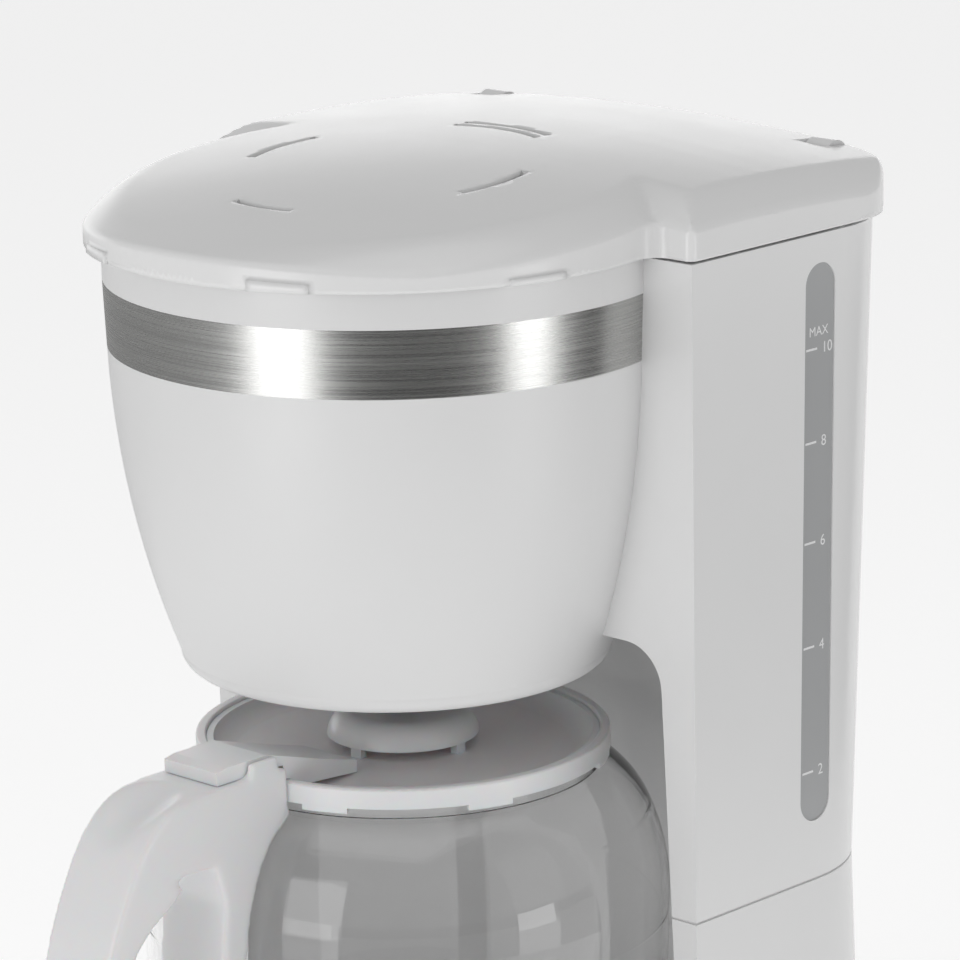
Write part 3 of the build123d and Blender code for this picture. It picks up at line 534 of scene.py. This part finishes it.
# ---------------------------------------------------------------------------------------
# Black parts: filter basket, drip stop, switch and thermostat. ABS and phenolic in spark
# eroded tools, which leaves a fine even matt grain.
# ---------------------------------------------------------------------------------------
wear(moulded_plastic("black_grained_abs", "#1d1d1e", 0.42, grain_mm=0.5, grain=0.15), "switch_rocker",
     "switch_body", "filter_basket", "valve_cage", "drip_valve")
wear(moulded_plastic("black_phenolic", "#231f1d", 0.3, grain_mm=0.3, grain=0.05, tint=0.03), "thermostat")
wear(moulded_plastic("natural_polyamide", "#dcd8c8", 0.5, tint=0.02), "terminal_block")

# ---------------------------------------------------------------------------------------
# Soft parts: pressed rubber feet and gland, with a dusty matt skin, and translucent
# silicone hoses and seals, which light enters a little way.
# ---------------------------------------------------------------------------------------
wear(moulded_plastic("nitrile_rubber", "#1a1a1a", 0.72, grain_mm=0.4, grain=0.3, tint=0.05), "rubber_feet",
     "cord_gland")


def clear_silicone():
    material = moulded_plastic("extruded_silicone", "#dcdcd6", 0.45, peel_mm=3.0, peel=0.04)
    shader = material.node_tree.nodes["Principled BSDF"]
    shader.inputs["IOR"].default_value = 1.41
    shader.inputs["Subsurface Weight"].default_value = 0.4
    shader.inputs["Subsurface Scale"].default_value = 1.5 * MM
    return material


wear(clear_silicone(), "hot_plate_seal", "inlet_hose", "riser_hose", "riser_grommet", "valve_seal")

# ---------------------------------------------------------------------------------------
# Metal parts: zinc-plated screws, pins, clips and bracket, with the pale cloudy bloom of
# zinc; stainless spring and ball; and the heating element, cast aluminium with a sandy skin.
# ---------------------------------------------------------------------------------------

def bare_metal(name, dark_hex, light_hex, roughness, patch_mm, relief):
    """A metal skin that drifts between two tones over patches of a real size."""
    material, tree, shader, place = new_material(name)
    patch = add_node(tree, "ShaderNodeTexNoise", {"Scale": 1 / (patch_mm * MM), "Detail": 4.0},
                     {"Vector": place})
    tone = add_node(tree, "ShaderNodeMix", {"data_type": "RGBA", 6: linear(dark_hex), 7: linear(light_hex)},
                    {"Factor": patch.outputs["Fac"]})
    tree.links.new(tone.outputs[2], shader.inputs["Base Color"])
    rough = add_node(tree, "ShaderNodeMapRange", {"To Min": roughness * 0.75, "To Max": roughness * 1.25},
                     {"Value": patch.outputs["Fac"]})
    tree.links.new(rough.outputs["Result"], shader.inputs["Roughness"])
    bump = add_node(tree, "ShaderNodeBump", {"Strength": relief, "Distance": 0.1 * MM},
                    {"Height": patch.outputs["Fac"]})
    tree.links.new(bump.outputs["Normal"], shader.inputs["Normal"])
    shader.inputs["Metallic"].default_value = 1.0
    return material


wear(bare_metal("zinc_plated_steel", "#b4b6ba", "#d3d5d6", 0.34, 2.5, 0.08), "base_screws", "element_bracket",
     "bracket_screws", "thermal_fuses", "hose_clips", "lid_hinge_pins", "jug_lid_pin", "handle_screw")
drawn_stainless = bare_metal("drawn_stainless", "#b2b1ae", "#c8c7c4", 0.22, 1.0, 0.04)
wear(drawn_stainless, "check_ball")
wear(bare_metal("cast_aluminium", "#a5a7a8", "#c4c6c7", 0.5, 1.2, 0.6), "heating_element")

# ---------------------------------------------------------------------------------------
# Drip stop spring: five turns of stainless wire wound on a mandrel. Its top stays against
# the cage. In the machine it shortens as the jug's cap pushes the plunger up; here it is
# built once, at the length of the plain spring part.
# ---------------------------------------------------------------------------------------
SPRING_TURNS = 5
WIRE_RADIUS = 0.45 * MM


def spring_tree(material):
    """Geometry Nodes: wire along a spiral, with the coil's and the wire's sizes as inputs."""
    tree = bpy.data.node_groups.new("wound_spring", "GeometryNodeTree")
    sockets = {}
    for name in ("Coil Radius", "Coil Height", "Turns", "Wire Radius"):
        sockets[name] = number_input(tree, name)
    tree.interface.new_socket("Geometry", in_out="OUTPUT", socket_type="NodeSocketGeometry")
    inputs = add_node(tree, "NodeGroupInput")
    coil = add_node(tree, "GeometryNodeCurveSpiral", {"Resolution": 32}, {
        "Rotations": inputs.outputs["Turns"], "Start Radius": inputs.outputs["Coil Radius"],
        "End Radius": inputs.outputs["Coil Radius"], "Height": inputs.outputs["Coil Height"]})
    section = add_node(tree, "GeometryNodeCurvePrimitiveCircle", {"Resolution": 12},
                       {"Radius": inputs.outputs["Wire Radius"]})
    wire = add_node(tree, "GeometryNodeCurveToMesh", {"Fill Caps": True},
                    {"Curve": coil.outputs["Curve"], "Profile Curve": section.outputs["Curve"]})
    real = add_node(tree, "GeometryNodeRealizeInstances", None, {"Geometry": wire.outputs["Mesh"]})
    drawn = add_node(tree, "GeometryNodeSetMaterial", {"Material": material},
                     {"Geometry": real.outputs["Geometry"]})
    output = add_node(tree, "NodeGroupOutput")
    tree.links.new(drawn.outputs["Geometry"], output.inputs["Geometry"])
    return tree, sockets


def wound_spring():
    low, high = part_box("valve_spring")
    radius = (high.x - low.x) / 2 - WIRE_RADIUS
    height = high.z - low.z - 2 * WIRE_RADIUS
    piece = bpy.data.objects.new("wound_spring", bpy.data.meshes.new("wound_spring"))
    bpy.context.scene.collection.objects.link(piece)
    tree, sockets = spring_tree(drawn_stainless)
    modifier = piece.modifiers.new("winding", "NODES")
    modifier.node_group = tree
    for name, value in (("Coil Radius", radius), ("Coil Height", height), ("Turns", float(SPRING_TURNS)),
                        ("Wire Radius", WIRE_RADIUS)):
        modifier[sockets[name]] = value
    settle(piece)
    piece.data.transform(Matrix.Translation((0, AXIS_Y, low.z + WIRE_RADIUS)))
    shade_rounded(piece.data)
    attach(piece, "basket")
    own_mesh(piece)
    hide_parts("valve_spring")


wound_spring()

# ---------------------------------------------------------------------------------------
# Hot plate: pressed aluminium with a sprayed and baked non-stick coat, near black, with a
# fine orange peel and pale specks in it.
# ---------------------------------------------------------------------------------------

def plate_coat():
    material = moulded_plastic("baked_nonstick_coat", "#232324", 0.4, peel_mm=1.2, peel=0.12, tint=0.04)
    tree = material.node_tree
    shader = tree.nodes["Principled BSDF"]
    tone = shader.inputs["Base Color"].links[0].from_socket
    place = tree.nodes["Texture Coordinate"].outputs["Object"]
    cells = add_node(tree, "ShaderNodeTexVoronoi", {"Scale": 1 / (1.6 * MM)}, {"Vector": place})
    speck_size = {"From Min": 0.10, "From Max": 0.16, "To Min": 1.0, "To Max": 0.0}
    speck = add_node(tree, "ShaderNodeMapRange", speck_size, {"Value": cells.outputs["Distance"]})
    speckled = add_node(tree, "ShaderNodeMix", {"data_type": "RGBA", 7: linear("#5a5a5c")},
                        {"Factor": speck.outputs["Result"]})
    tree.links.new(tone, speckled.inputs[6])
    tree.links.new(speckled.outputs[2], shader.inputs["Base Color"])
    return material


wear(plate_coat(), "hot_plate")
